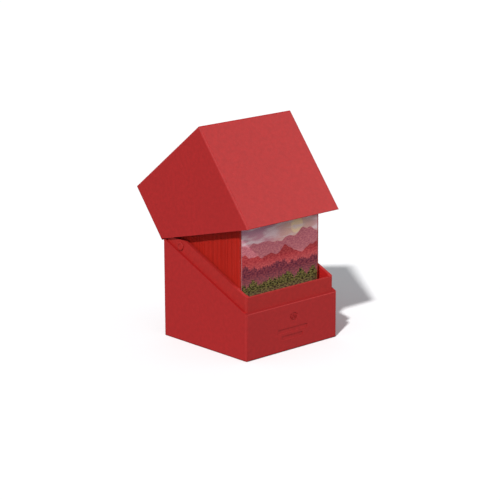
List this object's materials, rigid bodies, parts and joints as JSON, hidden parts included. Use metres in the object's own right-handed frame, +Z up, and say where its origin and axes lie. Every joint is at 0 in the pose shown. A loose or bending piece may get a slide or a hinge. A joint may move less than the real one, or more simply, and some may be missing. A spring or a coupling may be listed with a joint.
{
  "type": "card deck box",
  "caption": "Hard plastic deck box with a slanted seam, an inner liner with snap studs, a lift-off hood lid rocked open, and a deck of sleeved cards inside.",
  "frame": {"origin": "centre of the underside of the lower shell", "axes": "+X right seen from the low front, +Y to the high back, +Z up"},
  "size_m": [0.076, 0.1028, 0.1373],
  "materials": {
    "case_red": "fine leather-like moulded texture with a soft sheen",
    "liner_red": "satin moulded plastic, smoother than the case",
    "card_face": "printed and varnished card",
    "sleeve_clear": "clear glossy film",
    "sleeve_red": "red-backed card sleeves seen edge on"
  },
  "bodies": {
    "case": {"base_shell": "case_red", "liner_tray": "liner_red", "snap_stud_left": "liner_red", "snap_stud_right": "liner_red", "front_card": "card_face", "front_sleeve": "sleeve_clear", "sleeved_cards_01": "sleeve_red", "sleeved_cards_02": "sleeve_red", "sleeved_cards_03": "sleeve_red", "sleeved_cards_04": "sleeve_red", "sleeved_cards_05": "sleeve_red", "sleeved_cards_06": "sleeve_red", "sleeved_cards_07": "sleeve_red", "sleeved_cards_08": "sleeve_red", "sleeved_cards_09": "sleeve_red", "sleeved_cards_10": "sleeve_red", "sleeved_cards_11": "sleeve_red", "sleeved_cards_12": "sleeve_red", "sleeved_cards_13": "sleeve_red", "sleeved_cards_14": "sleeve_red", "sleeved_cards_15": "sleeve_red", "sleeved_cards_16": "sleeve_red", "sleeved_cards_17": "sleeve_red", "sleeved_cards_18": "sleeve_red", "sleeved_cards_19": "sleeve_red", "sleeved_cards_20": "sleeve_red"},
    "lid": {"lid_shell": "case_red"}
  },
  "joints": [
    {"name": "lid_tilt", "type": "hinge", "parent": "case", "child": "lid", "pos_m": [0, 0.03706, 0.0587], "axis": [-1, 0, 0], "range_deg": [-38, 75]}
  ]
}
